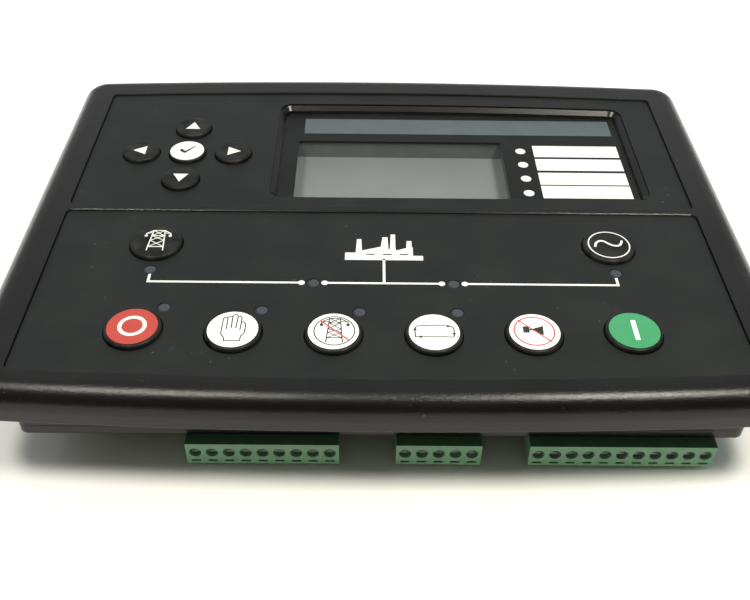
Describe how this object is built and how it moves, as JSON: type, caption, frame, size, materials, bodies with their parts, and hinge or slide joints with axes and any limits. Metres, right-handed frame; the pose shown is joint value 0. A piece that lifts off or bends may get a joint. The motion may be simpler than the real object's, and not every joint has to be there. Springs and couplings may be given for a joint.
{
  "type": "genset controller",
  "caption": "Panel controller for a standby generator: bowed bezel, display window, keys, lamps and pluggable terminals.",
  "frame": {"origin": "middle of the back face's plane, under the middle of the bezel; the controller lies on its back", "axes": "+Z out of the fascia, +X along the key row to the start key, +Y to the display's edge"},
  "size_m": [0.24, 0.181, 0.0424],
  "materials": {
    "black_moulding": "fine grained black moulding",
    "label_film": "matt printed film",
    "window": "clear sheet, printed dark round its clear fields",
    "lcd": "unlit liquid crystal glass",
    "white_moulding": "plain white moulding",
    "card": "white paper card",
    "alarm_lens": "grey lens, unlit",
    "status_lens": "grey-blue lens, unlit",
    "key_black": "smooth black moulding",
    "inlay_white": "white printed face",
    "inlay_red": "red printed face",
    "inlay_green": "green printed face",
    "mat_rubber": "plain rubber",
    "circuit_board": "green solder mask",
    "zinc_steel": "bright zinc",
    "socket_steel": "plated steel",
    "clamp_metal": "tin plated",
    "pin_metal": "tin plated",
    "terminal_green": "smooth green moulding"
  },
  "bodies": {
    "casing": {"front_bezel": "black_moulding", "rear_case": "black_moulding", "upper_label": "label_film", "lower_label": "label_film", "display_window": "window", "lcd_glass": "lcd", "lcd_tray": "black_moulding", "text_card": "card", "key_mat": "mat_rubber", "front_board": "circuit_board", "main_board": "circuit_board", "board_spacers": "white_moulding", "board_screws": "zinc_steel", "case_screws": "zinc_steel", "usb_socket": "socket_steel", "terminal_screws": "zinc_steel", "wire_clamps": "clamp_metal", "contact_pins": "pin_metal", "alarm_lamp_1": "alarm_lens", "alarm_lamp_2": "alarm_lens", "alarm_lamp_3": "alarm_lens", "alarm_lamp_4": "alarm_lens", "status_lamp_1": "status_lens", "status_lamp_2": "status_lens", "status_lamp_3": "status_lens", "status_lamp_4": "status_lens", "status_lamp_5": "status_lens", "status_lamp_6": "status_lens", "status_lamp_7": "status_lens", "status_lamp_8": "status_lens", "nine_pole_header": "terminal_green", "nine_pole_plug": "terminal_green", "five_pole_header": "terminal_green", "five_pole_plug": "terminal_green", "eleven_pole_header": "terminal_green", "eleven_pole_plug": "terminal_green", "supply_header": "terminal_green", "supply_plug": "terminal_green", "sensing_header": "terminal_green", "sensing_plug": "terminal_green"},
    "up_button": {"up_key": "key_black"},
    "down_button": {"down_key": "key_black"},
    "left_button": {"left_key": "key_black"},
    "right_button": {"right_key": "key_black"},
    "enter_button": {"enter_key": "key_black", "enter_inlay": "inlay_white"},
    "mains_button": {"mains_key": "key_black"},
    "generator_button": {"generator_key": "key_black"},
    "stop_button": {"stop_key": "key_black", "stop_inlay": "inlay_red"},
    "manual_button": {"manual_key": "key_black", "manual_inlay": "inlay_white"},
    "test_button": {"test_key": "key_black", "test_inlay": "inlay_white"},
    "auto_button": {"auto_key": "key_black", "auto_inlay": "inlay_white"},
    "mute_button": {"mute_key": "key_black", "mute_inlay": "inlay_white"},
    "start_button": {"start_key": "key_black", "start_inlay": "inlay_green"}
  },
  "joints": [
    {"name": "up_travel", "type": "slide", "parent": "casing", "child": "up_button", "axis": [0, 0, -1], "range_m": [0, 0.0008], "stiffness_N_per_m": 600},
    {"name": "down_travel", "type": "slide", "parent": "casing", "child": "down_button", "axis": [0, 0, -1], "range_m": [0, 0.0008], "stiffness_N_per_m": 600},
    {"name": "left_travel", "type": "slide", "parent": "casing", "child": "left_button", "axis": [0, 0, -1], "range_m": [0, 0.0008], "stiffness_N_per_m": 600},
    {"name": "right_travel", "type": "slide", "parent": "casing", "child": "right_button", "axis": [0, 0, -1], "range_m": [0, 0.0008], "stiffness_N_per_m": 600},
    {"name": "enter_travel", "type": "slide", "parent": "casing", "child": "enter_button", "axis": [0, 0, -1], "range_m": [0, 0.0008], "stiffness_N_per_m": 600},
    {"name": "mains_travel", "type": "slide", "parent": "casing", "child": "mains_button", "axis": [0, 0, -1], "range_m": [0, 0.0008], "stiffness_N_per_m": 600},
    {"name": "generator_travel", "type": "slide", "parent": "casing", "child": "generator_button", "axis": [0, 0, -1], "range_m": [0, 0.0008], "stiffness_N_per_m": 600},
    {"name": "stop_travel", "type": "slide", "parent": "casing", "child": "stop_button", "axis": [0, 0, -1], "range_m": [0, 0.0008], "stiffness_N_per_m": 600},
    {"name": "manual_travel", "type": "slide", "parent": "casing", "child": "manual_button", "axis": [0, 0, -1], "range_m": [0, 0.0008], "stiffness_N_per_m": 600},
    {"name": "test_travel", "type": "slide", "parent": "casing", "child": "test_button", "axis": [0, 0, -1], "range_m": [0, 0.0008], "stiffness_N_per_m": 600},
    {"name": "auto_travel", "type": "slide", "parent": "casing", "child": "auto_button", "axis": [0, 0, -1], "range_m": [0, 0.0008], "stiffness_N_per_m": 600},
    {"name": "mute_travel", "type": "slide", "parent": "casing", "child": "mute_button", "axis": [0, 0, -1], "range_m": [0, 0.0008], "stiffness_N_per_m": 600},
    {"name": "start_travel", "type": "slide", "parent": "casing", "child": "start_button", "axis": [0, 0, -1], "range_m": [0, 0.0008], "stiffness_N_per_m": 600}
  ]
}
